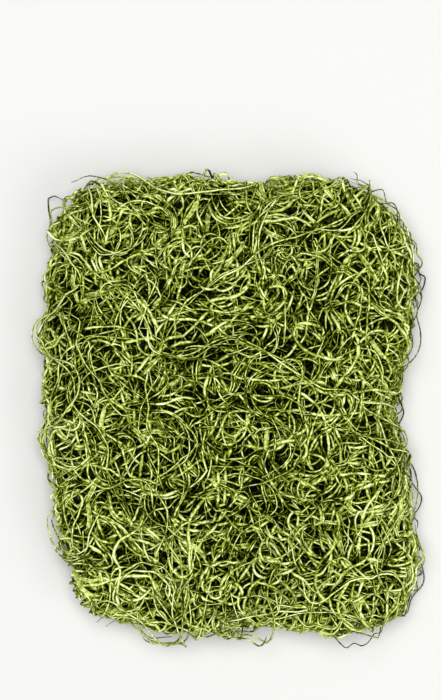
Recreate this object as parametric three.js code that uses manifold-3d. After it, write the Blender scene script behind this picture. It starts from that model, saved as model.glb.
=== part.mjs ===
// A bunch of preserved Spanish moss: a springy, pillow-shaped tangle of curly green stems, pressed together and
// lying on its back.
//
// Millimetres, +Z up, +Y along the bunch. The origin is the middle of the small flat spot that it rests on.
//
// moss_tangle   a packed heart, with the many stems that arch out of it and back in all round, as one body
// long_stem_*   long single stems, wound over the tangle and over each other, which could be pulled off it

import * as THREE from "three";
import { mergeVertices } from "three/addons/utils/BufferGeometryUtils.js";
import Module from "manifold-3d";

// The packed heart of the tangle, which the stems stand out of: a crumpled pillow.
const HALF_LENGTH = 104.5; // along Y
const RIGHT_HALF_WIDTH = 82; // at +X, where the side swells and narrows along the length
const RIGHT_SWELL = 4.5;
const RIGHT_SWELL_PITCH = 132;
const RIGHT_SWELL_AT = 59; // a swelling's place along Y
const LEFT_HALF_WIDTH = 83; // at -X, where the side leans in towards the lower end
const LEFT_LEAN = 9;
const LEFT_LEAN_FROM = 15;
const LEFT_LEAN_TO = -95;
const MIDDLE_HEIGHT = 21; // of the widest section
const HEIGHT_ABOVE = 15; // from the widest section to the top of the heart
const HEIGHT_BELOW = 14.5; // from the widest section down to its underside
const CORNER_POWER = 5.6; // how square the plan is: 2 is an ellipse
const EDGE_POWER = 2.5; // how square the edge is, seen from the side
const LUMP_HEIGHT = 2.2;
const LUMP_PITCH = [62, 54, 47]; // along X, Y and Z
const HEART_DETAIL = 6;
const CRUMPLE = 4; // how far its facets' corners are drawn in, at most


// The small flat spot that the bunch rests on.
const SPOT_RADIUS = 18;
const SPOT_DEPTH = 12;

// Stems are threads: thin and wiry, drawn with three sides.
const SIDES = 3;
const TIP_RADIUS = 0.6;
const FLOOR_GAP = 0.15; // between the threads and the surface that the bunch lies on

// Stems rooted in the heart at both ends.
const STEMS = 107;
const STEM_RADIUS = [1.5, 2.1];
const STEM_STEPS = 9;
const STEM_STEP = 6.8;
const STEM_LIFT = [3, 6.5]; // how high a stem arches over the heart
const STEM_TURN = [0.12, 0.55]; // radians a step
const ROOT_DEPTH = 2.8; // how far an end is sunk in the heart
const UNDERSIDE_LIFT = 0.7; // the share of its lift that a stem keeps where the bunch lies on it
const SELF_CLEARANCE = 4.4; // between two stretches of one stem
const THREAD_CLEARANCE = 4; // between two stems, middle to middle
const ROOT_CLEAR = 1.2; // the height over the heart from which stems keep clear of each other
const TRIES = 14;
const SLIVER = 0.02; // the size of detail that is smoothed away after fusing

// Long stems, wound over the tangle.
const LONG_STEMS = 44;
const LONG_RADIUS = [1.3, 1.7];
const LONG_STEPS = 26;
const LONG_STEP = 7;
const LONG_TURN = [0.35, 0.62]; // radians a step, where it turns most sharply
const LONG_TURN_WAVES = [1.2, 2.8]; // along its length
const LONG_BASE = 4; // the height over the heart that its way is planned at
const LONG_TOP = 13; // the highest that it may climb over its plan
const LONG_TRIES = 7;
const LOWEST_SIDE = -0.35; // how far down the heart faces where a long stem may still lie on it
const LONG_GAP = 0.3; // between a long stem and what it lies on
const LEAST_GAP = 0.05; // the least that is put up with, where a facet stands proud
const HEART_MARGIN = 0.7; // its least height over the heart, whose facets stand proud of the formula in hollows
const SLACK = 0.2; // how far a long stem sinks in each pass as it is laid
const LAYING_PASSES = 80;
const SAMPLES = 5; // places along a span at which it is kept clear
const NEAR = 16; // how far round a place other threads are looked for

const MOSS_GREEN = "#8b9b3a";
const STEM_GREEN = "#b3c257";

const wasm = await Module();
wasm.setup();

// A repeatable random number from 0 to 1.
let randomState = 20;
function random() {
  randomState = (Math.imul(randomState, 1664525) + 1013904223) >>> 0;
  return randomState / 2 ** 32;
}

function between([low, high]) {
  return low + (high - low) * random();
}

function smoothstep(from, to, value) {
  const share = THREE.MathUtils.clamp((value - from) / (to - from), 0, 1);
  return share * share * (3 - 2 * share);
}

// ---- The heart's form, as a formula ----

function halfWidth(x, y) {
  if (x > 0) {
    const phase = (2 * Math.PI * (y - RIGHT_SWELL_AT)) / RIGHT_SWELL_PITCH;
    return RIGHT_HALF_WIDTH + RIGHT_SWELL * Math.cos(phase);
  }
  return LEFT_HALF_WIDTH - LEFT_LEAN * smoothstep(LEFT_LEAN_FROM, LEFT_LEAN_TO, y);
}

// 1 on the smooth pillow's surface, less inside and more outside.
function fullness(x, y, z) {
  const across = Math.abs(x) / halfWidth(x, y);
  const along = Math.abs(y) / HALF_LENGTH;
  const plan = (across ** CORNER_POWER + along ** CORNER_POWER) ** (1 / CORNER_POWER);
  const rise = (z - MIDDLE_HEIGHT) / (z > MIDDLE_HEIGHT ? HEIGHT_ABOVE : HEIGHT_BELOW);
  return (plan ** EDGE_POWER + Math.abs(rise) ** EDGE_POWER) ** (1 / EDGE_POWER);
}

function slope(p) {
  const e = 0.5;
  return new THREE.Vector3(
    fullness(p.x + e, p.y, p.z) - fullness(p.x - e, p.y, p.z),
    fullness(p.x, p.y + e, p.z) - fullness(p.x, p.y - e, p.z),
    fullness(p.x, p.y, p.z + e) - fullness(p.x, p.y, p.z - e),
  ).divideScalar(2 * e);
}

function lump(p) {
  const [a, b, c] = LUMP_PITCH.map((pitch) => (2 * Math.PI) / pitch);
  return LUMP_HEIGHT * Math.sin(a * p.x + 1.7 * Math.sin(b * p.y)) * Math.cos(b * p.y + c * p.z);
}

function outward(p) {
  return slope(p).normalize();
}

// The height of a point above the heart's lumpy surface.
function height(p) {
  return (fullness(p.x, p.y, p.z) - 1) / slope(p).length() - lump(p);
}

// Moves a point straight out or in until it is at the wanted height.
function settle(p, wanted) {
  for (let pass = 0; pass < 4; pass++) p.addScaledVector(outward(p), wanted - height(p));
}

// ---- Solids ----

function solidOf(geometry) {
  const bare = geometry.clone();
  for (const name of ["normal", "uv"]) bare.deleteAttribute(name);
  const merged = mergeVertices(bare, 1e-4);
  return new wasm.Manifold(
    new wasm.Mesh({
      numProp: 3,
      vertProperties: merged.attributes.position.array,
      triVerts: new Uint32Array(merged.index.array),
    }),
  );
}

function geometryOf(solid) {
  const { vertProperties, triVerts } = solid.getMesh();
  const geometry = new THREE.BufferGeometry();
  geometry.setAttribute("position", new THREE.BufferAttribute(vertProperties, 3));
  geometry.setIndex(new THREE.BufferAttribute(triVerts, 1));
  geometry.computeVertexNormals();
  return geometry;
}

// A closed thread through the points, as thick at each as radiusAt says for its share of the length.
function threadGeometry(points, radiusAt) {
  const steps = points.length - 1;
  const { normals, binormals } = new THREE.CatmullRomCurve3(points).computeFrenetFrames(steps);
  const corners = [];
  for (let i = 0; i <= steps; i++) {
    for (let side = 0; side < SIDES; side++) {
      const angle = (2 * Math.PI * side) / SIDES;
      const corner = points[i]
        .clone()
        .addScaledVector(normals[i], radiusAt(i / steps) * Math.cos(angle))
        .addScaledVector(binormals[i], radiusAt(i / steps) * Math.sin(angle));
      corner.z = Math.max(corner.z, FLOOR_GAP);
      corners.push(corner.x, corner.y, corner.z);
    }
  }
  const faces = [];
  for (let i = 0; i < steps; i++) {
    for (let side = 0; side < SIDES; side++) {
      const [a, b] = [i * SIDES + side, i * SIDES + ((side + 1) % SIDES)];
      faces.push(a, b, b + SIDES, a, b + SIDES, a + SIDES);
    }
  }
  const last = steps * SIDES;
  for (let side = 1; side < SIDES - 1; side++) {
    faces.push(0, side + 1, side);
    faces.push(last, last + side, last + side + 1);
  }
  const geometry = new THREE.BufferGeometry();
  geometry.setAttribute("position", new THREE.Float32BufferAttribute(corners, 3));
  geometry.setIndex(faces);
  return geometry;
}

// ---- The tangle ----

// The packed heart: a ball, pushed out to the heart's form and crumpled, with the resting spot under its middle.
function heartGeometry() {
  const ball = mergeVertices(
    new THREE.IcosahedronGeometry(1, HEART_DETAIL).deleteAttribute("normal").deleteAttribute("uv"),
  );
  const position = ball.attributes.position;
  const p = new THREE.Vector3();
  for (let i = 0; i < position.count; i++) {
    p.fromBufferAttribute(position, i).multiply(new THREE.Vector3(LEFT_HALF_WIDTH, HALF_LENGTH, HEIGHT_ABOVE));
    const size = fullness(p.x, p.y, p.z + MIDDLE_HEIGHT);
    p.divideScalar(size).setZ(p.z + MIDDLE_HEIGHT);
    for (let pass = 0; pass < 3; pass++) {
      p.z = MIDDLE_HEIGHT + (p.z - MIDDLE_HEIGHT) / fullness(p.x, p.y, p.z);
    }
    settle(p, -CRUMPLE * random());
    const fromMiddle = Math.hypot(p.x, p.y) / SPOT_RADIUS;
    if (p.z < MIDDLE_HEIGHT) p.z -= SPOT_DEPTH * Math.exp(-(fromMiddle ** 4));
    position.setXYZ(i, p.x, p.y, p.z);
  }
  return ball;
}

// Walks over the tangle as a thread grows: step by step, turning, at the height that liftAt gives for each share.
function walk(start, heading, { steps, step, turnAt, liftAt, radius }) {
  const place = start.clone();
  const forward = heading.clone();
  const points = [];
  for (let i = 0; i <= steps; i++) {
    const out = outward(place);
    const pressed = THREE.MathUtils.lerp(1, UNDERSIDE_LIFT, smoothstep(-0.2, -0.9, out.z));
    const lift = liftAt(i / steps);
    settle(place, lift > 0 ? lift * pressed : lift);
    place.z = Math.max(place.z, FLOOR_GAP + radius / 2);
    points.push(place.clone());
    forward.addScaledVector(out, -forward.dot(out)).normalize();
    forward.applyAxisAngle(out, turnAt(i / steps));
    place.addScaledVector(forward, step);
  }
  return points;
}

// Whether a thread keeps clear of itself where it curls round.
function clearOfItself(points) {
  return points.every((p, i) => points.slice(i + 3).every((q) => p.distanceTo(q) > SELF_CLEARANCE));
}

function anyHeading(out) {
  const heading = new THREE.Vector3(random() - 0.5, random() - 0.5, random() - 0.5);
  return heading.addScaledVector(out, -heading.dot(out)).normalize();
}

// How sharply a rooted stem turns along its length: a steady bend that swings a little to and fro.
function curl() {
  const bend = (random() < 0.5 ? -1 : 1) * between(STEM_TURN);
  const swing = 0.3 * random();
  const phase = 2 * Math.PI * random();
  return (share) => bend * (0.6 + 0.8 * share) + swing * Math.sin(7 * share + phase);
}

// A point on the heart, as likely on any part of its surface, and the furthest of a few from the points taken.
function openPlace(taken) {
  let best;
  let bestRoom = -1;
  for (let tries = 0; tries < 14; ) {
    const p = new THREE.Vector3(
      (2 * random() - 1) * (LEFT_HALF_WIDTH + 4),
      (2 * random() - 1) * (HALF_LENGTH + 2),
      MIDDLE_HEIGHT + (2 * random() - 1) * (HEIGHT_ABOVE + 2),
    );
    if (Math.abs(height(p)) > 2) continue;
    tries += 1;
    settle(p, 0);
    const room = Math.min(...taken.map((q) => p.distanceTo(q)), 1e3);
    if (room > bestRoom) [best, bestRoom] = [p, room];
  }
  return best;
}

// Points close together along a thread, with its radius.
function beads(points, radius) {
  return points.slice(1).flatMap((end, i) =>
    Array.from({ length: SAMPLES }, (_, k) => ({ at: points[i].clone().lerp(end, k / SAMPLES), radius })),
  );
}

// The beads of the threads made so far, which others have to keep clear of, kept by the cell that they are in.
class Obstacles {
  cells = new Map();

  add(more) {
    for (const bead of more) {
      const key = this.cellsAround(bead.at, 0)[0];
      if (!this.cells.has(key)) this.cells.set(key, []);
      this.cells.get(key).push(bead);
    }
  }

  cellsAround(at, reach) {
    const [x, y, z] = at.toArray().map((v) => Math.floor(v / NEAR));
    const steps = Array.from({ length: 2 * reach + 1 }, (_, i) => i - reach);
    return steps.flatMap((i) => steps.flatMap((j) => steps.map((k) => `${x + i} ${y + j} ${z + k}`)));
  }

  near(at) {
    return this.cellsAround(at, 1).flatMap((key) => this.cells.get(key) ?? []);
  }
}

// How much of a stem would run through others, away from where it is rooted.
function crowding(points, others) {
  const open = beads(points).filter(({ at }) => height(at) > ROOT_CLEAR);
  return open.filter(({ at }) => others.near(at).some((q) => at.distanceToSquared(q.at) < THREAD_CLEARANCE ** 2)).length;
}

// The least crowded of several threads that grow() makes.
function leastCrowded(grow, others) {
  let best;
  let least = Infinity;
  for (let tries = 0; tries < TRIES && least > 0; ) {
    const points = grow();
    if (!clearOfItself(points)) continue;
    tries += 1;
    const crowd = crowding(points, others);
    if (crowd < least) [best, least] = [points, crowd];
  }
  return best;
}

// A stem that arches out of the heart and back into it.
function stemFrom(start, radius) {
  const peak = between(STEM_LIFT);
  return walk(start, anyHeading(outward(start)), {
    steps: STEM_STEPS,
    step: STEM_STEP,
    turnAt: curl(),
    liftAt: (share) => -ROOT_DEPTH + (peak + ROOT_DEPTH) * Math.sin(Math.PI * share) ** 0.55,
    radius,
  });
}

function makeTangle() {
  const floor = new THREE.BoxGeometry(400, 400, 20).translate(0, 0, -10);
  const solids = [solidOf(heartGeometry()).subtract(solidOf(floor))];
  const starts = [];
  const obstacles = new Obstacles();
  for (let i = 0; i < STEMS; i++) {
    starts.push(openPlace(starts));
    const radius = between(STEM_RADIUS);
    const stem = leastCrowded(() => stemFrom(starts[i], radius), obstacles);
    solids.push(solidOf(threadGeometry(stem, () => radius)));
    obstacles.add(beads(stem, radius));
  }
  // Fusing can leave slivers, or a scrap or a sealed pocket: the outer body alone is kept.
  const bodies = wasm.Manifold.union(solids).asOriginal().simplify(SLIVER).decompose();
  const outer = bodies.reduce((a, b) => (a.volume() > b.volume() ? a : b));
  return { solid: outer, obstacles };
}

// ---- The long stems ----

// A long stem's plan: points over the heart, each with its way out, turning to and fro in loops.
function longWay(start) {
  const [first, second] = [0, 1].map(() => ({
    turn: between(LONG_TURN) / 1.5,
    waves: 2 * Math.PI * between(LONG_TURN_WAVES),
    phase: 2 * Math.PI * random(),
  }));
  const swing = ({ turn, waves, phase }, share) => turn * Math.sin(waves * share + phase);
  const points = walk(start, anyHeading(outward(start)), {
    steps: LONG_STEPS,
    step: LONG_STEP,
    turnAt: (share) => swing(first, share) + swing(second, share),
    liftAt: () => LONG_BASE,
    radius: LONG_RADIUS[1],
  });
  return points.map((at) => ({ at, out: outward(at) }));
}

// The height that a sample has to clear a bead by, or nothing where it passes to one side.
function heightOver(bead, sample, reach) {
  const offset = bead.at.clone().sub(sample.at);
  const rise = offset.dot(sample.out);
  const aside = offset.lengthSq() - rise ** 2;
  return aside < reach ** 2 && Math.abs(rise) < NEAR ? rise + Math.sqrt(reach ** 2 - aside) : -Infinity;
}

// The samples along a long stem's way, each with its span, its share of it and the least height that it needs
// over its plan, and with the earlier samples of the same stem that it crosses over.
function samplesAlong(way, radius, obstacles) {
  const samples = way.slice(1).flatMap((end, span) =>
    Array.from({ length: SAMPLES }, (_, k) => {
      const share = k / SAMPLES;
      const at = way[span].at.clone().lerp(end.at, share);
      return { span, share, at, out: way[span].out.clone().lerp(end.out, share).normalize() };
    }),
  );
  samples.forEach((sample, i) => {
    const needs = obstacles.near(sample.at).map((bead) => heightOver(bead, sample, radius + bead.radius + LONG_GAP));
    sample.need = Math.max(radius + HEART_MARGIN - LONG_BASE, ...needs);
    sample.crosses = [];
    const reach = 2 * radius + LONG_GAP;
    const apart = Math.ceil((3 * reach * SAMPLES) / LONG_STEP);
    for (let k = 0; k < i - apart; k++) {
      const over = heightOver(samples[k], sample, reach);
      if (over > -Infinity) sample.crosses.push({ under: samples[k], over });
    }
  });
  return samples;
}

// Lays a long stem down: it sinks and straightens, and each span is pushed out until it clears what it lies on.
// Returns its height over its plan at each point.
function lay(way, samples) {
  const lifts = way.map(() => LONG_TOP);
  const liftAt = ({ span, share }) => THREE.MathUtils.lerp(lifts[span], lifts[span + 1], share);
  for (let pass = 0; pass < LAYING_PASSES; pass++) {
    const before = [...lifts];
    if (pass < LAYING_PASSES - 5) {
      lifts.forEach((lift, i) => {
        const beside = (before[Math.max(i - 1, 0)] + before[Math.min(i + 1, way.length - 1)]) / 2;
        lifts[i] = (lift + beside) / 2 - SLACK;
      });
    }
    for (const sample of samples) {
      const { span, share, need, crosses } = sample;
      const needed = Math.max(need, ...crosses.map(({ under, over }) => over + liftAt(under)));
      const lack = needed - liftAt(sample);
      if (lack <= 0) continue;
      const push = lack / ((1 - share) ** 2 + share ** 2);
      lifts[span] += push * (1 - share);
      lifts[span + 1] += push * share;
    }
  }
  return lifts;
}

// A long stem from the start, laid on what is there, with how high it has to climb.
function longStem(start, radius, obstacles) {
  let way;
  do way = longWay(start);
  while (way.some(({ out }) => out.z < LOWEST_SIDE));
  const lifts = lay(way, samplesAlong(way, radius, obstacles));
  const points = way.map(({ at, out }, i) => at.clone().addScaledVector(out, lifts[i]));
  const ends = (share) => Math.min(1, 8 * share, 8 * (1 - share));
  const geometry = threadGeometry(points, (share) => THREE.MathUtils.lerp(TIP_RADIUS, radius, ends(share)));
  return { points, geometry, solid: solidOf(geometry), climb: Math.max(...lifts) };
}

// Whether a long stem is clear of itself and of all that is there.
function isClear({ points, solid }, radius, solids) {
  const own = beads(points, radius);
  const apart = Math.ceil((8 * radius * SAMPLES) / LONG_STEP);
  const crossed = own.some(({ at }, i) => own.slice(i + apart).some((q) => at.distanceTo(q.at) < 2 * radius));
  return !crossed && solids.every((other) => solid.minGap(other, 1) > LEAST_GAP);
}

function makeLongStems(tangle) {
  const { obstacles } = tangle;
  const solids = [tangle.solid];
  const starts = [];
  const stems = [];
  while (stems.length < LONG_STEMS) {
    const start = openPlace(starts);
    if (outward(start).z < 0) continue;
    const radius = between(LONG_RADIUS);
    const tries = Array.from({ length: LONG_TRIES }, () => longStem(start, radius, obstacles));
    const [stem] = tries.filter((t) => isClear(t, radius, solids)).sort((a, b) => a.climb - b.climb);
    if (!stem) continue;
    starts.push(start);
    solids.push(stem.solid);
    obstacles.add(beads(stem.points, radius));
    stems.push(stem.geometry);
  }
  return stems;
}

// ---- The bunch ----

function mossMesh(name, geometry, color) {
  const material = new THREE.MeshStandardMaterial({ color, roughness: 0.7, metalness: 0 });
  const mesh = new THREE.Mesh(geometry, material);
  mesh.name = name;
  return mesh;
}

const bunch = new THREE.Group();
const tangle = makeTangle();
bunch.add(mossMesh("moss_tangle", geometryOf(tangle.solid), MOSS_GREEN));
makeLongStems(tangle).forEach((geometry, i) => {
  bunch.add(mossMesh(`long_stem_${String(i + 1).padStart(2, "0")}`, geometry, STEM_GREEN));
});

export default bunch;
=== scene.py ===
import bpy
import numpy as np
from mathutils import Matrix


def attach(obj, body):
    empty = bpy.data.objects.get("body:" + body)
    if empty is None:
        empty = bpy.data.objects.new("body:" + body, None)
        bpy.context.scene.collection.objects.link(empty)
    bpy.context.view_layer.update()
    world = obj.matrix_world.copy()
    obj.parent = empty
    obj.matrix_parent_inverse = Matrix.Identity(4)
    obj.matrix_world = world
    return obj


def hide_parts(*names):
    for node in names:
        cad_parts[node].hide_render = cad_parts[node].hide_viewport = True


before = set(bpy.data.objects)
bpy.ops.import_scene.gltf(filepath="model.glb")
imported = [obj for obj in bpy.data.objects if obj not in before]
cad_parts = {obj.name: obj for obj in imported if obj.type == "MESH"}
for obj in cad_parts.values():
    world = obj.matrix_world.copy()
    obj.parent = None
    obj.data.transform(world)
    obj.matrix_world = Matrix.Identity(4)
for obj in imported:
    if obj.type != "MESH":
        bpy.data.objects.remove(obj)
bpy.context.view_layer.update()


# ---- The pillow that the moss is pressed into ----
# The moss has no core or shell: it is stems all through, pressed into the form of the bag that it is sold
# in. Every stem below grows at some height over this form, which is the CAD tangle's heart, in millimetres.

HALF_LENGTH = 104.5
LEFT_HALF_WIDTH = 83
LEFT_LEAN = 9
RIGHT_HALF_WIDTH = 83.5
RIGHT_SWELL = 4.5
UPPER_SWELL_Y = 59
SWELLS_APART = 132
MIDDLE_HEIGHT = 21
FACE_RISE = 15
BACK_FALL = 14.5
LUMP_RISE = 2.2
LUMP_PITCHES = (62, 54, 47)

# How square the corners are in plan, and the rim from the side: 2 is an ellipse, and more is squarer.
LOWER_RIGHT_CORNER = 12
OTHER_CORNERS = 5.6
RIM = 2.5


def smooth(low, high, value):
    """0 at low, 1 at high and an S between them. Low may be the greater."""
    share = np.clip((value - low) / (high - low), 0, 1)
    return share * share * (3 - 2 * share)


def half_width(x, y):
    """The right side swells twice, and the left side leans in towards the lower end."""
    right = RIGHT_HALF_WIDTH + RIGHT_SWELL * np.cos(2 * np.pi * (y - UPPER_SWELL_Y) / SWELLS_APART)
    return np.where(x > 0, right, LEFT_HALF_WIDTH - LEFT_LEAN * smooth(15, -95, y))


def reach(p):
    """How far out p is in plan: 0 in the middle, 1 at the form's rim."""
    x, y = p[..., 0], p[..., 1]
    corner = np.where((x > 0) & (y < 0), LOWER_RIGHT_CORNER, OTHER_CORNERS)
    return ((np.abs(x) / half_width(x, y)) ** corner + (np.abs(y) / HALF_LENGTH) ** corner) ** (1 / corner)


def fullness(p):
    """0 in the form's middle, 1 on its surface before it is lumped, and more outside."""
    rise = (p[..., 2] - MIDDLE_HEIGHT) / np.where(p[..., 2] > MIDDLE_HEIGHT, FACE_RISE, BACK_FALL)
    return (reach(p) ** RIM + np.abs(rise) ** RIM) ** (1 / RIM)


def slope(p):
    """How much the fullness grows a millimetre, along x, y and z."""
    steps = 0.5 * np.eye(3)
    return np.stack([fullness(p + step) - fullness(p - step) for step in steps], axis=-1)


def unit(way):
    """The same way, one long."""
    return way / np.linalg.norm(way, axis=-1, keepdims=True)


def outward(p):
    """The way straight out of the form at p."""
    return unit(slope(p))


def lump(p):
    """How far the surface swells out at p, or in where it is negative."""
    x, y, z = (2 * np.pi * p[..., i] / pitch for i, pitch in enumerate(LUMP_PITCHES))
    return LUMP_RISE * np.sin(x + 1.7 * np.sin(y)) * np.cos(y + z)


def height(p):
    """How high p stands over the lumped surface."""
    return (fullness(p) - 1) / np.linalg.norm(slope(p), axis=-1) - lump(p)


def settle(p, wanted):
    """Moves p straight in or out to the wanted height, in five tries of 5 mm at most."""
    for _ in range(5):
        p = p + outward(p) * np.clip(wanted - height(p), -5, 5)[..., None]
    return p


# ---- The finish of the stems ----
# Preserved Spanish moss: dried air-plant stems, softened with glycerine and dyed a bright yellow-green. The
# dye takes unevenly, and the fine scales that cover each stem leave it all but matt.

# From painted shade deep in the bunch, where no light reaches, to the painted highlight on the ridges of its
# top stems.
STEM_TONES_PAINTED_SHADE_TO_HIGHLIGHT = (
    (0.0, "#060800"),
    (0.25, "#0d1200"),
    (0.45, "#242d00"),
    (0.62, "#56600e"),
    (0.78, "#99a547"),
    (0.9, "#c2ce77"),
    (1.0, "#d8e2a2"),
)
TINT_OF_STRONG_DYE = "#bccb86"

# Blotches of dye are 9 mm across. The scales are 0.3 mm long, and drawn 1.7 mm apart, so that they show.
BLOTCHES_A_METRE = 110
SCALES_A_METRE = 580
BLOTCH_CONTRAST = 0.3
SCALE_CONTRAST = 0.85
PATTERN_LEVEL = -0.46
SCALE_RELIEF = 0.0002


def linear(colour):
    """An sRGB hex colour as linear red, green, blue and alpha."""
    parts = [int(colour[i : i + 2], 16) / 255 for i in (1, 3, 5)]
    return [c / 12.92 if c <= 0.04045 else ((c + 0.055) / 1.055) ** 2.4 for c in parts] + [1]


def add_node(tree, kind, links=None, values=None, **settings):
    """A new node, with what its inputs are linked to or set to, and its settings."""
    added = tree.nodes.new(kind)
    for name, value in settings.items():
        setattr(added, name, value)
    for name, value in (values or {}).items():
        added.inputs[name].default_value = value
    for name, source in (links or {}).items():
        tree.links.new(source, added.inputs[name])
    return added


def dyed_stem(name):
    """Dyed dry stem. A mesh's tone attribute says how light it is at each corner, with painted shade deep in
    the tangle and painted highlights on top, and its dye attribute how strong the dye is."""
    material = bpy.data.materials.new(name)
    material.use_nodes = True
    tree = material.node_tree
    surface = tree.nodes["Principled BSDF"]
    place = {"Vector": add_node(tree, "ShaderNodeTexCoord").outputs["Object"]}
    tone = add_node(tree, "ShaderNodeAttribute", attribute_name="tone").outputs["Fac"]
    dye = add_node(tree, "ShaderNodeAttribute", attribute_name="dye").outputs["Fac"]
    noise = "ShaderNodeTexNoise"
    blotch = add_node(tree, noise, place, {"Scale": BLOTCHES_A_METRE, "Detail": 2}).outputs["Fac"]
    scales = add_node(tree, noise, place, {"Scale": SCALES_A_METRE, "Detail": 1}).outputs["Fac"]
    uneven = add_node(
        tree, "ShaderNodeMath", {0: blotch}, {1: BLOTCH_CONTRAST, 2: PATTERN_LEVEL}, operation="MULTIPLY_ADD"
    ).outputs[0]
    mottled = add_node(
        tree, "ShaderNodeMath", {0: scales, 2: uneven}, {1: SCALE_CONTRAST}, operation="MULTIPLY_ADD"
    ).outputs[0]
    level = add_node(tree, "ShaderNodeMath", {0: tone, 1: mottled}, operation="ADD").outputs[0]
    ramp = add_node(tree, "ShaderNodeValToRGB", {"Fac": level})
    while len(ramp.color_ramp.elements) < len(STEM_TONES_PAINTED_SHADE_TO_HIGHLIGHT):
        ramp.color_ramp.elements.new(0.5)
    for element, (position, colour) in zip(ramp.color_ramp.elements, STEM_TONES_PAINTED_SHADE_TO_HIGHLIGHT):
        element.position = position
        element.color = linear(colour)
    tint = add_node(tree, "ShaderNodeMix", data_type="RGBA", blend_type="MULTIPLY")
    tree.links.new(dye, tint.inputs["Factor"])
    tree.links.new(ramp.outputs["Color"], tint.inputs["A"])
    tint.inputs["B"].default_value = linear(TINT_OF_STRONG_DYE)
    tree.links.new(tint.outputs["Result"], surface.inputs["Base Color"])
    raised = {"Strength": 0.35, "Distance": SCALE_RELIEF}
    relief = add_node(tree, "ShaderNodeBump", {"Height": scales}, raised).outputs["Normal"]
    tree.links.new(relief, surface.inputs["Normal"])
    surface.inputs["Roughness"].default_value = 0.7
    surface.inputs["Specular IOR Level"].default_value = 0.03
    return material


dyed_moss = dyed_stem("dyed_moss_stem")


# ---- The stems of the tangle ----
# Each is a wiry thread, 0.6 to 1.4 mm thick, that wanders over the form in arcs and loops, climbs over its
# neighbours and dives back under them. They are grown step by step, then drawn as closed tubes.

draw = np.random.default_rng(seed=20)
LOFT_AT_RIM = 7
MORE_LOFT_ON_FACE = 8
LESS_LOFT_BELOW = 2
# The tone of the tops, a little paler towards the lower end, with painted light towards the rim; the painted
# shade of the depths is lighter towards the rim.
TONE_OF_TOPS = 0.73
PALER_LOWER_END = 0.02
PALER_OUTER_TOPS = 0.04
TONE_OF_OUTER_DEPTHS = 0.27


def loft(p, out):
    """How deep the loose moss lies on the form: deep on the face, thinner at the rim, pressed flat below."""
    face = smooth(0.25, 0.9, out[..., 2]) * smooth(1.02, 0.72, reach(p))
    return LOFT_AT_RIM + MORE_LOFT_ON_FACE * face - LESS_LOFT_BELOW * smooth(-0.2, -0.8, out[..., 2])


def painted_depth_shade(p, out, lift=0):
    """The tone of the moss at p, as painted shade: dark deep in the loft, less so towards the rim, and pale
    at its top.
    """
    rise = smooth(-0.05, 0.95, (height(p) + lift) / loft(p, out)) ** 1.8
    top = TONE_OF_TOPS + PALER_LOWER_END * smooth(20, -80, p[..., 1])
    top = top + PALER_OUTER_TOPS * smooth(0.45, 0.85, reach(p))
    return top * rise + TONE_OF_OUTER_DEPTHS * smooth(0.35, 0.8, reach(p)) * (1 - rise)


BOX_ROUND_FORM = ([-90, -108, 4], [90, 108, 38])


def places_on_form(count):
    """Points over the form's surface: closest together round the rim, and fewest on the side it lies on."""
    found = np.empty((0, 3))
    while len(found) < count:
        tries = draw.uniform(*BOX_ROUND_FORM, (20000, 3))
        tries = tries[np.abs(height(tries)) < 1.5]
        chance = 0.6 + 0.4 * smooth(0.75, 0.95, reach(tries))
        chance = chance * np.where(outward(tries)[:, 2] < -0.6, 0.5, 1)
        found = np.concatenate([found, tries[draw.random(len(tries)) < chance]])
    return settle(found[:count], np.zeros(count))


def across(out):
    """Any direction along the surface that faces out."""
    way = draw.normal(size=out.shape)
    return unit(way - out * np.sum(way * out, axis=-1, keepdims=True))


def pressed_in(p, slack):
    """Keeps p inside the form's plan, let out by the slack given, as the bag held it."""
    inside = p.copy()
    inside[..., :2] /= np.maximum(reach(p) / (1 + slack), 1)[..., None]
    return inside


OVER_TABLE = 0.3
SLACK_OF_HIGH_STEMS = 0.06


def grow(start, heading, step, turns, lifts, radius, loose=(-0.02, 0.05)):
    """Walks over the form. turns, in radians a step, and lifts, in shares of the loft, have a row for each
    stem and a column for each of its points. loose is how far stems may stray out of the form's plan."""
    place, forward, ways, ups = start.copy(), heading.copy(), [], []
    slack = draw.uniform(*loose, len(start))
    for i in range(turns.shape[1]):
        out = outward(place)
        place = settle(place, lifts[:, i] * loft(place, out))
        place = pressed_in(place, slack + SLACK_OF_HIGH_STEMS * np.maximum(lifts[:, i], 0))
        place[:, 2] = np.maximum(place[:, 2], radius + OVER_TABLE)
        out = outward(place)
        ways.append(place)
        ups.append(out)
        forward = unit(forward - out * np.sum(forward * out, axis=1, keepdims=True))
        turn = turns[:, i, None]
        forward = forward * np.cos(turn) + np.cross(out, forward) * np.sin(turn)
        place = place + forward * step[:, None]
    return np.stack(ways, axis=1), np.stack(ups, axis=1)


WIRY = 0.22
KINKS_IF_WIRY = 0.09
KINKS_OTHERWISE = 0.035
KINK = 0.55
WOBBLE = 0.08
SHARPEST = 0.9


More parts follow.
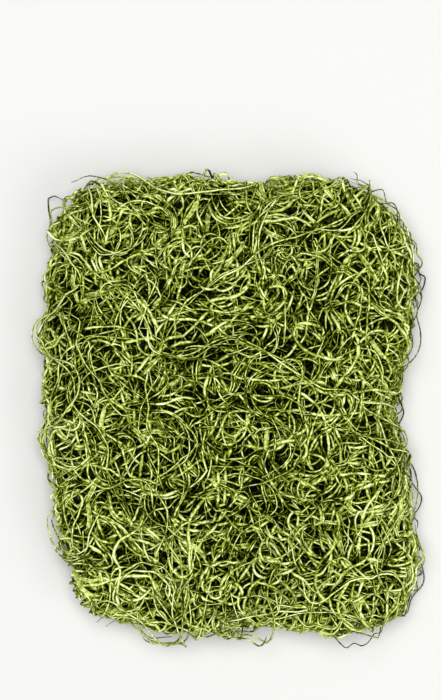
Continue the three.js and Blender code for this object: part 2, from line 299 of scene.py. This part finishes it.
def curls(count, points, step, tightest):
    """Turns, in radians a step, of stems that bend steadily and swing to and fro. The tightest curl is given
    as its radius. The wiry ones are straighter, with more kinks."""
    share = np.linspace(0, 1, points)
    bend = draw.uniform(0.1, 0.85, (count, 1)) ** 1.3 / tightest * draw.choice([-1, 1], (count, 1))
    swing = draw.uniform(0.2, 1.2, (count, 1)) / tightest * 0.65
    waves = 2 * np.pi * draw.uniform(0.8, 2.6, (count, 1))
    tighten = 0.6 + 0.8 * share * draw.uniform(-0.4, 1.1, (count, 1))
    sway = bend * tighten + swing * np.sin(waves * share + draw.uniform(0, 6.3, (count, 1)))
    wiry = draw.random((count, 1)) < WIRY
    kinked = draw.random((count, points)) < np.where(wiry, KINKS_IF_WIRY, KINKS_OTHERWISE)
    kinks = np.where(kinked, draw.normal(0, KINK, (count, points)), 0)
    wobble = draw.normal(0, WOBBLE, (count, points))
    turns = np.where(wiry, 0.35, 1) * sway * step[:, None] + wobble + kinks
    return np.clip(turns, -SHARPEST, SHARPEST)


ENDS = 0.25


def rise_and_fall(count, points, tops, waver):
    """Lifts of stems that come up from under others, ride over them as high as a top between the two given,
    and dive in again."""
    share = np.linspace(0, 1, points)
    top = draw.uniform(*tops, (count, 1))
    arch = np.clip(np.sin(np.pi * share), 0, 1) ** 0.45
    waves = 2 * np.pi * draw.uniform(3, 9, (count, 1))
    ripple = waver * np.sin(waves * share + draw.uniform(0, 6.3, (count, 1)))
    return top * (ENDS + (1 - ENDS) * arch) * (1 + ripple)


def patches(count, points, every, size):
    """Where the dye took more or less along each stem, in patches a few points long."""
    knots = draw.normal(0, size, (count, points // every + 2))
    at = np.arange(points) / every
    before = at.astype(int)
    return knots[:, before] * (1 + before - at) + knots[:, before + 1] * (at - before)


def dye_of_each(count, mean=0.25, spread=0.3):
    """How strong the dye is in each stem as a whole."""
    return np.clip(draw.normal(mean, spread, (count, 1)), 0, 1)


def straight_thread(points, corners_round):
    """A straight closed thread: each corner's point along it and its angle round it, and the faces."""
    length = points - 1
    bpy.ops.object.select_all(action="DESELECT")
    bpy.ops.mesh.primitive_cylinder_add(
        vertices=corners_round, radius=1, depth=length, location=(0, 0, length / 2)
    )
    thread = bpy.context.object
    bpy.ops.object.transform_apply()
    bpy.context.tool_settings.mesh_select_mode = (False, True, False)
    bpy.ops.object.mode_set(mode="EDIT")
    bpy.ops.mesh.select_all(action="DESELECT")
    bpy.ops.object.mode_set(mode="OBJECT")
    for edge in thread.data.edges:
        one_end, other_end = (thread.data.vertices[v].co.z for v in edge.vertices)
        edge.select = abs(one_end - other_end) > 0.5
    bpy.ops.object.mode_set(mode="EDIT")
    bpy.ops.mesh.subdivide(number_cuts=points - 2)
    bpy.ops.object.mode_set(mode="OBJECT")
    corners = np.array([vertex.co for vertex in thread.data.vertices])
    faces = [list(face.vertices) for face in thread.data.polygons]
    bpy.data.objects.remove(thread)
    return np.rint(corners[:, 2]).astype(int), np.arctan2(corners[:, 1], corners[:, 0]), faces


def copies_in_one_mesh(name, corners, faces):
    """A mesh with a copy of the faces for each row of corners."""
    rows, size = corners.shape[:2]
    row = np.arange(rows)[:, None]
    loops = np.concatenate(faces) + size * row
    starts = np.cumsum([0] + [len(face) for face in faces[:-1]]) + loops.shape[1] * row
    mesh = bpy.data.meshes.new(name)
    mesh.vertices.add(rows * size)
    mesh.vertices.foreach_set("co", corners.ravel() / 1000)
    mesh.loops.add(loops.size)
    mesh.loops.foreach_set("vertex_index", loops.ravel())
    mesh.polygons.add(starts.size)
    mesh.polygons.foreach_set("loop_start", starts.ravel())
    mesh.update(calc_edges=True)
    return mesh


LOWEST_CORNER = 0.1
# A stem's outward ridge is paler and its underside darker: a painted highlight and painted shade.
PAINTED_RIDGE_HIGHLIGHT = 0.14
THREAD_TONE = -0.11
DARKER_THIN_STEM = 0.12

# The pieces drawn so far, and the points that their stems run through, three to a step.
drawn, laid = [], []


def draw_stems(name, ways, ups, radii, tones, dyes, corners_round=3, breadth=1.0):
    """One piece: a copy of the thread bent along each way, with each point's radius, tone and dye. A stem's
    ridge, facing out, gets a painted highlight, and its underside painted shade; thin stems are darker."""
    ring, angle, faces = straight_thread(ways.shape[1], corners_round)
    along = np.gradient(ways, axis=1)
    sides = unit(np.cross(ups, along))
    ups = unit(np.cross(along, sides))
    breadth = np.reshape(breadth, (-1, 1, 1))
    broad, deep = np.cos(angle)[:, None] * breadth, np.sin(angle)[:, None] / breadth
    radii, tones, dyes = (np.broadcast_to(v, ways.shape[:2])[:, ring] for v in (radii, tones, dyes))
    tones = tones + PAINTED_RIDGE_HIGHLIGHT * np.sin(angle) + THREAD_TONE - DARKER_THIN_STEM * smooth(0.5, 0.22, radii)
    corners = ways[:, ring] + radii[..., None] * (sides[:, ring] * broad + ups[:, ring] * deep)
    corners[..., 2] = np.maximum(corners[..., 2], LOWEST_CORNER)
    mesh = copies_in_one_mesh(name, corners, faces)
    for attribute, values in (("tone", tones), ("dye", dyes)):
        mesh.attributes.new(attribute, "FLOAT", "POINT").data.foreach_set("value", values.ravel())
    mesh.materials.append(dyed_moss)
    piece = bpy.data.objects.new(name, mesh)
    bpy.context.collection.objects.link(piece)
    bpy.context.view_layer.objects.active = piece
    piece.select_set(True)
    bpy.ops.object.shade_smooth()
    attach(piece, "root")
    drawn.append(piece)
    laid.extend((ways[:, :-1] * (1 - t) + ways[:, 1:] * t).reshape(-1, 3) for t in (0, 1 / 3, 2 / 3))
    return piece


TIP = 0.3
NODE_SWELL = 0.3


def tapered(radius, points):
    """A stem's radius along it: fine at both ends, and swollen at its nodes, six to nine points apart."""
    share = np.linspace(0, 1, points)
    ends = np.clip(np.minimum(share, 1 - share) * 7, 0, 1)
    apart = draw.integers(6, 10, (len(radius), 1))
    swollen = (np.arange(points) + draw.integers(0, 9, (len(radius), 1))) % apart == 0
    return radius[:, None] * (TIP + (1 - TIP) * ends**0.7) * (1 + NODE_SWELL * swollen)


# The form's surface is parted into cells, in three layers: underside, rim and face. A cell at the rim stands
# for three times as much surface as one on the face. lying is how much moss lies over each cell so far.
CELL = 7
CELLS_ACROSS = 34
room = np.repeat([1, 3, 1], CELLS_ACROSS**2)
lying = np.zeros(3 * CELLS_ACROSS**2)


def most_even(ways, ups, keep, thickness):
    """Which stems to keep: those that lie where the others are closest are left out, one at a time."""
    ground = ways - ups * height(ways)[..., None]
    column, row = (
        np.clip(ground[..., i] / CELL + CELLS_ACROSS / 2, 0, CELLS_ACROSS - 1).astype(int) for i in (0, 1)
    )
    side = np.digitize(ups[..., 2], (-0.5, 0.5))
    cells = (side * CELLS_ACROSS + column) * CELLS_ACROSS + row
    bulk = thickness * painted_depth_shade(ways, ups)
    own = ((cells[:, :, None] == cells[:, None]) * bulk[:, None]).sum(axis=2) / room[cells]
    kept = np.ones(len(ways), bool)
    while kept.sum() > keep:
        crowd = (lying + np.bincount(cells[kept].ravel(), bulk[kept].ravel(), lying.size)) / room
        crowding = ((crowd[cells] - own) * bulk).sum(axis=1) / bulk.sum(axis=1)
        kept[np.argmax(crowding * kept)] = False
    lying[:] += np.bincount(cells[kept].ravel(), bulk[kept].ravel(), lying.size)
    return kept


GROWN_FOR_EACH_KEPT = 1.6
USUAL_RADIUS = 0.4
STEPS = (1.7, 2.6)
FLATNESS = (1, 1.25)
HANK_SPREAD = 1.5


def tangle(name, stems, points, corners_round, tops, tightest, thickness, hank=1, painted_shade_of_layer=0.0, waver=0.33):
    """A layer of stems all round the form. Those in a hank run side by side."""
    hanks = int(stems // hank * GROWN_FOR_EACH_KEPT)
    start = places_on_form(hanks)
    out = outward(start)
    heading = across(out)
    step = draw.uniform(*STEPS, hanks)
    turns = curls(hanks, points, step, tightest)
    lifts = rise_and_fall(hanks, points, tops, waver)
    tried = grow(start, heading, step, turns, lifts, np.full(hanks, USUAL_RADIUS))
    kept = most_even(*tried, stems // hank, hank * sum(thickness) / 2)
    start, heading, step, turns, lifts, out = (
        np.repeat(v[kept], hank, axis=0) for v in (start, heading, step, turns, lifts, out)
    )
    count = len(start)
    if hank > 1:
        start = start + np.cross(out, heading) * draw.normal(0, HANK_SPREAD, (count, 1))
        turns = turns + draw.normal(0, 0.018, (count, 1))
        lifts = lifts * draw.uniform(0.9, 1.1, (count, 1))
    radius = draw.uniform(*thickness, count) / 2
    breadth = draw.uniform(*FLATNESS, count)
    ways, ups = grow(start, heading, step, turns, lifts, radius)
    tones = painted_depth_shade(ways, ups) + draw.normal(0, 0.04, (count, 1)) + patches(count, points, 3, 0.08) - painted_shade_of_layer
    dyes = dye_of_each(count)
    piece = draw_stems(name, ways, ups, tapered(radius, points), tones, dyes, corners_round, breadth)
    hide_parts("moss_tangle")
    return ways, ups


# How many stems, points in each and corners round it, then how high they ride, as shares of the loft, the
# radius of their tightest curls and how thick they are, in millimetres.
# The two lowest layers get extra painted shade.
tangle("packed_stems", 400, 28, 3, (-0.15, 0.35), 7, (0.9, 1.4), painted_shade_of_layer=0.1)
tangle("inner_stems", 640, 32, 3, (0.15, 0.6), 4, (0.7, 1.15), painted_shade_of_layer=0.04)
hank_ways, hank_ups = tangle("hanks_of_stems", 390, 38, 4, (0.4, 0.95), 6.5, (0.88, 1.32), hank=3)
tangle("upper_stems", 320, 30, 4, (0.6, 1.02), 5.5, (0.95, 1.4), waver=0.12)
outer_ways, outer_ups = tangle("outer_stems", 820, 38, 3, (0.4, 1.0), 4.6, (0.88, 1.35), hank=2, waver=0.18)
tangle("fine_stems", 600, 38, 3, (0.35, 0.95), 3.3, (0.6, 1.0), hank=2, waver=0.22)


# ---- The packed inside ----
# Behind the stems there is only more moss, too deep for light to reach. It is one crumpled mat, near black
# with painted shade, that follows the form just under them and closes the gaps between them, flat where the
# bunch rests.

INSIDE_BELOW_FORM = 1.5
INSIDE_CRUMPLE = 1.2
REST_SPOT_RADIUS = 18
REST_SPOT_DROP = 12
CLUMPS_A_METRE = 600
middle = np.array([0, 0, MIDDLE_HEIGHT])


def corners_of(mesh):
    flat = np.empty(len(mesh.vertices) * 3)
    mesh.vertices.foreach_get("co", flat)
    return flat.reshape(-1, 3)


bpy.ops.object.select_all(action="DESELECT")
bpy.ops.mesh.primitive_ico_sphere_add(subdivisions=5, radius=1)
mat = bpy.context.object
mat.name = "packed_inside"
points = corners_of(mat.data) * [LEFT_HALF_WIDTH, HALF_LENGTH, FACE_RISE] + middle
for _ in range(6):
    points = (points - middle) / fullness(points)[:, None] + middle
points = settle(points, -INSIDE_BELOW_FORM + draw.uniform(-INSIDE_CRUMPLE, INSIDE_CRUMPLE, len(points)))
rest_spot = np.exp(-((np.hypot(points[:, 0], points[:, 1]) / REST_SPOT_RADIUS) ** 4))
points[:, 2] -= np.where(points[:, 2] < MIDDLE_HEIGHT, REST_SPOT_DROP * rest_spot, 0)
points[:, 2] = np.maximum(points[:, 2], LOWEST_CORNER)
mat.data.vertices.foreach_set("co", points.ravel() / 1000)
mat.data.update()
bpy.ops.object.shade_smooth()

# Moss in painted shade: quite matt, near black, in clumps of 1.7 mm, a stem or two across.
moss_in_painted_shade = bpy.data.materials.new("moss_in_painted_shade")
moss_in_painted_shade.use_nodes = True
tree = moss_in_painted_shade.node_tree
surface = tree.nodes["Principled BSDF"]
surface.inputs["Roughness"].default_value = 1
surface.inputs["Specular IOR Level"].default_value = 0
place = add_node(tree, "ShaderNodeTexCoord").outputs["Object"]
clumps = add_node(tree, "ShaderNodeTexNoise", {"Vector": place}, {"Scale": CLUMPS_A_METRE, "Detail": 3})
depth = add_node(tree, "ShaderNodeValToRGB", {"Fac": clumps.outputs["Fac"]})
depth.color_ramp.elements[0].color = linear("#070a00")
depth.color_ramp.elements[1].color = linear("#262e02")
tree.links.new(depth.outputs["Color"], surface.inputs["Base Color"])
mat.data.materials.append(moss_in_painted_shade)
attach(mat, "root")
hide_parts("moss_tangle")


# ---- The long stems ----
# Wound over the tangle and over each other. Each is a loose hank: one thread the whole way, and thinner ones
# that join it for a stretch. They keep to the CAD stems' middle lines, and lie a little into the tangle.

LONG_POINTS = 70
JOINING_THREADS = 3
MAIN_RADIUS = (0.48, 0.62)
JOINING_RADIUS = (0.36, 0.52)
KNOTS = 19
ASTRAY = 2.2
UP_AND_DOWN = 1.8
SUNK_IN = 1.6
DEEPEST = -5
HIGHEST = 1


def middle_line(node):
    """The line through a threadlike node's rings of corners, from one end to the other, in mm."""
    corners, index = np.unique(np.round(corners_of(node.data) * 1000, 3), axis=0, return_inverse=True)
    index = index.ravel()
    faces = [[index[v] for v in face.vertices] for face in node.data.polygons]
    beside = [set() for _ in corners]
    for face in faces:
        for v in face:
            beside[v].update(set(face) - {v})
    ring = set(min(faces, key=lambda face: sum(len(beside[v]) for v in face)))
    seen, line = set(ring), []
    while ring:
        line.append(corners[list(ring)].mean(axis=0))
        ring = set().union(*(beside[v] for v in ring)) - seen
        seen |= ring
    return np.array(line)


def smooth_line(line, points, first, last):
    """A smooth curve through a line's points, from one share of its length to another."""
    padded = np.concatenate([[2 * line[0] - line[1]], line, [2 * line[-1] - line[-2]]])
    at = np.linspace(first, last, points) * (len(line) - 1.0001)
    i, t = at.astype(int), (at % 1)[:, None]
    a, b, c, d = (padded[i + k] for k in range(4))
    return 0.5 * (2 * b + (c - a) * t + (2 * a - 5 * b + 4 * c - d) * t**2 + (3 * b - a - 3 * c + d) * t**3)


for name in sorted(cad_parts):
    if not name.startswith("long_stem"):
        continue
    cad_line = middle_line(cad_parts[name])
    spans = [(0, 1)]
    for _ in range(JOINING_THREADS):
        spans.append(sorted(draw.choice(np.linspace(0, 1, 9), 2, replace=False)))
    ways, ups = [], []
    for first, last in spans:
        line = smooth_line(cad_line, LONG_POINTS, first, last)
        out = outward(line)
        sides = unit(np.cross(out, np.gradient(line, axis=0)))
        at, knots = np.linspace(first, last, LONG_POINTS), np.linspace(0, 1, KNOTS)
        astray = np.interp(at, knots, draw.normal(0, ASTRAY, KNOTS))
        aloft = np.interp(at, knots, draw.normal(0, UP_AND_DOWN, KNOTS))
        level = np.clip(aloft - SUNK_IN, DEEPEST, HIGHEST)
        ways.append(line + sides * astray[:, None] + out * level[:, None])
        ups.append(out)
    ways, ups, threads = np.array(ways), np.array(ups), len(spans)
    thinnest, thickest = zip(MAIN_RADIUS, *[JOINING_RADIUS] * JOINING_THREADS)
    radius = draw.uniform(thinnest, thickest)
    tones = np.maximum(painted_depth_shade(ways, ups), 0.3) + draw.normal(0, 0.05, (threads, 1))
    tones = tones + patches(threads, LONG_POINTS, 4, 0.08)
    dyes = dye_of_each(threads, 0.2, 0.25)
    hank_name = name.replace("long_stem", "long_hank")
    piece = draw_stems(hank_name, ways, ups, tapered(radius, LONG_POINTS), tones, dyes)
    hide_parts(name)


# ---- Leaves ----
# Fine threadlike leaves, 0.5 to 0.8 mm thick, leave the stems at a slant along their whole length, and curl
# away to a point.

def leaves(name, ways, ups, count, points, tightest):
    """One piece of leaves that grow from the stems that run along the ways."""
    stem = draw.integers(0, len(ways), count)
    at = draw.integers(4, ways.shape[1] - 4, count)
    start = ways[stem, at]
    heading = unit(ways[stem, at + 1] - start)
    out = ups[stem, at]
    splay = (draw.choice([-1, 1], count) * draw.uniform(0.3, 1.0, count))[:, None]
    heading = heading * np.cos(splay) + np.cross(out, heading) * np.sin(splay)
    step = draw.uniform(1.2, 2.2, count)
    level = (height(start) / loft(start, out))[:, None]
    lifts = level + np.linspace(0, 1, points) * draw.uniform(-0.35, 0.3, (count, 1))
    lifts = np.minimum(lifts, 1.12)
    radius = draw.uniform(0.24, 0.42, count)
    grown, leaf_ups = grow(start, heading, step, curls(count, points, step, tightest), lifts, radius)
    taper = np.linspace(1, 0.3, points) ** 0.8
    tones = painted_depth_shade(grown, leaf_ups) + draw.normal(0, 0.12, (count, 1))
    dyes = dye_of_each(count)
    piece = draw_stems(name, grown, leaf_ups, radius[:, None] * taper, tones, dyes)
    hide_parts("moss_tangle")


leaves("curled_leaves", outer_ways, outer_ups, count=1300, points=7, tightest=3)
leaves("fine_leaves", hank_ways, hank_ups, count=1300, points=7, tightest=4.5)


# ---- Flat sheaves ----
# Here and there four stems have dried stuck together side by side, in a flat sheaf that narrows to both its
# ends. The sheaves lie in the top of the tangle.

SHEAVES = 120
SHEAF_POINTS = 12
STEMS_APART = 0.6
sheaf_stems = np.array([-1.5, -0.5, 0.5, 1.5])
count = SHEAVES * len(sheaf_stems)

start = places_on_form(SHEAVES)
step = draw.uniform(1.6, 2.5, SHEAVES)
lifts = rise_and_fall(SHEAVES, SHEAF_POINTS, (0.7, 0.98), waver=0.06)
heading = across(outward(start))
turns = 0.7 * curls(SHEAVES, SHEAF_POINTS, step, 8)
middles, ups = grow(start, heading, step, turns, lifts, np.full(SHEAVES, USUAL_RADIUS))
sides = unit(np.cross(ups, np.gradient(middles, axis=1)))
broad = 0.2 + 0.8 * np.sin(np.pi * np.linspace(0, 1, SHEAF_POINTS) ** 0.8)
aside = STEMS_APART * sheaf_stems[:, None, None, None] * broad[:, None]
ways = (middles + sides * aside).reshape(-1, SHEAF_POINTS, 3)
ups = np.concatenate([ups] * len(sheaf_stems))
tones = painted_depth_shade(ways, ups) + draw.normal(0.02, 0.05, (count, 1))
dyes = dye_of_each(count, 0.2, 0.25)
piece = draw_stems("flat_sheaves", ways, ups, 0.16 + 0.27 * np.tile(broad, (count, 1)), tones, dyes)
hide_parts("moss_tangle")


# ---- The shade among the stems ----
# Light falls off fast in so dense a tangle. A stem is darkest where others lie right over it. Where the whole
# tangle stands lower or higher than it should, its tops are still as pale as those around it.

NARROW_SPOT = 1.6
WIDE_SPOT = 6.5
FORM_WITHIN = 130
FORM_ABOVE = -20
USUAL_TOP = 0.83


def spot_under(p, size):
    """Which spot of the form's surface, size mm across, p lies over."""
    corner = [FORM_WITHIN, FORM_WITHIN, -FORM_ABOVE]
    spots_across = int(2 * FORM_WITHIN / size)
    ground = (p - outward(p) * height(p)[:, None] + corner) / size
    column, row, layer = np.clip(ground.T, 0, spots_across - 1).astype(int)
    return (column * spots_across + row) * spots_across + layer


stems = np.concatenate(laid)
narrow, wide = spot_under(stems, NARROW_SPOT), spot_under(stems, WIDE_SPOT)
tops = np.full(narrow.max() + 1, float(FORM_ABOVE))
np.maximum.at(tops, narrow, height(stems))
mean_tops = np.bincount(wide, tops[narrow]) / np.maximum(np.bincount(wide), 1)
for piece in drawn:
    corners = corners_of(piece.data) * 1000
    out = outward(corners)
    top = tops[np.minimum(spot_under(corners, NARROW_SPOT), len(tops) - 1)]
    mean_top = mean_tops[np.minimum(spot_under(corners, WIDE_SPOT), len(mean_tops) - 1)]
    lift = np.clip(USUAL_TOP * loft(corners, out) - mean_top, -3, 3)
    shade = 0.24 - 0.06 * smooth(0.35, 0.8, reach(corners))
    shade = shade * smooth(0.5, 2.6, top - height(corners))
    tones = np.empty(len(corners))
    piece.data.attributes["tone"].data.foreach_get("value", tones)
    tones += painted_depth_shade(corners, out, lift) - painted_depth_shade(corners, out) - shade
    piece.data.attributes["tone"].data.foreach_set("value", tones)


# ---- Loose hairs ----
# A few dry, dark hairs have slipped out of the bunch, most of them down its right side. They stand clear of
# it between their ends, so they come after the shade that the other stems get.

HAIRS = 56
HAIR_POINTS = 24
RIM_HEIGHT = 18
RIGHT_SIDE_X = 70

start = places_on_form(4000)
start = start[np.abs(start[:, 2] - RIM_HEIGHT) < 7]
start = start[(start[:, 0] > RIGHT_SIDE_X) | (draw.random(len(start)) < 0.03)][:HAIRS]
heading = np.cross(outward(start), [0, 0, 1]) * draw.choice([-1, 1], (HAIRS, 1))
heading = heading + draw.normal(0, 0.12, (HAIRS, 3))
step = draw.uniform(1.2, 2.2, HAIRS)
radius = draw.uniform(0.26, 0.44, HAIRS)
share = np.linspace(0, 1, HAIR_POINTS)
waves = 2 * np.pi * (draw.uniform(1, 3.5, (HAIRS, 1)) * share + draw.random((HAIRS, 1)))
clear = draw.uniform(0.1, 1.3, (HAIRS, 1))
lifts = 0.8 + clear * np.sin(np.pi * share) + 0.3 * np.sin(waves)
turns = 0.25 * curls(HAIRS, HAIR_POINTS, step, 9)
ways, ups = grow(start, heading, step, turns, lifts, radius, loose=(0, 0.03))
tones = draw.uniform(0.5, 0.76, (HAIRS, 1))
dyes = np.full((HAIRS, 1), 0.4)
piece = draw_stems("loose_hairs", ways, ups, tapered(radius, HAIR_POINTS), tones, dyes)
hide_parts("moss_tangle")


# ---- The table, the light and the camera ----
# A plain pale table, a broad soft lamp high above it, a weaker one to its lower right, and a camera straight
# above, which takes in 343 mm from top to bottom at the height where the bunch is widest.

CAMERA_HEIGHT = 1.3
OUTLINE_HEIGHT = 0.03
FRAME_LENGTH = 0.343
SENSOR_LENGTH = 36

bpy.ops.object.select_all(action="DESELECT")
bpy.ops.mesh.primitive_plane_add(size=12, location=(0, 0, 0))
table = bpy.context.object
table.name = "table"

# Painted board: an even pale grey, too matt to mirror the lamps.
painted_board = bpy.data.materials.new("painted_board")
painted_board.use_nodes = True
board_surface = painted_board.node_tree.nodes["Principled BSDF"]
board_surface.inputs["Base Color"].default_value = linear("#b8b8b5")
board_surface.inputs["Roughness"].default_value = 0.7
table.data.materials.append(painted_board)

studio = bpy.data.worlds.new("studio")
bpy.context.scene.world = studio
studio.use_nodes = True
studio.node_tree.nodes["Background"].inputs["Color"].default_value = linear("#ffffff")
studio.node_tree.nodes["Background"].inputs["Strength"].default_value = 0.24

for name, place, size, power in (("key", (-0.1, 0.2, 2.1), 1.0, 65), ("fill", (1.2, -0.9, 1.8), 1.6, 26)):
    bpy.ops.object.light_add(type="AREA", location=place)
    lamp = bpy.context.object
    lamp.name = name
    lamp.data.size = size
    lamp.data.energy = power
    lamp.rotation_euler = (-lamp.location).to_track_quat("-Z", "Y").to_euler()

bpy.ops.object.camera_add(location=(-0.0022, 0.027, CAMERA_HEIGHT))
camera = bpy.context.object
camera.data.sensor_fit = "VERTICAL"
camera.data.sensor_height = SENSOR_LENGTH
camera.data.lens = SENSOR_LENGTH * (CAMERA_HEIGHT - OUTLINE_HEIGHT) / FRAME_LENGTH
camera.rotation_euler = (0, 0, 0)
bpy.context.scene.camera = camera
bpy.context.scene.view_settings.view_transform = "Standard"
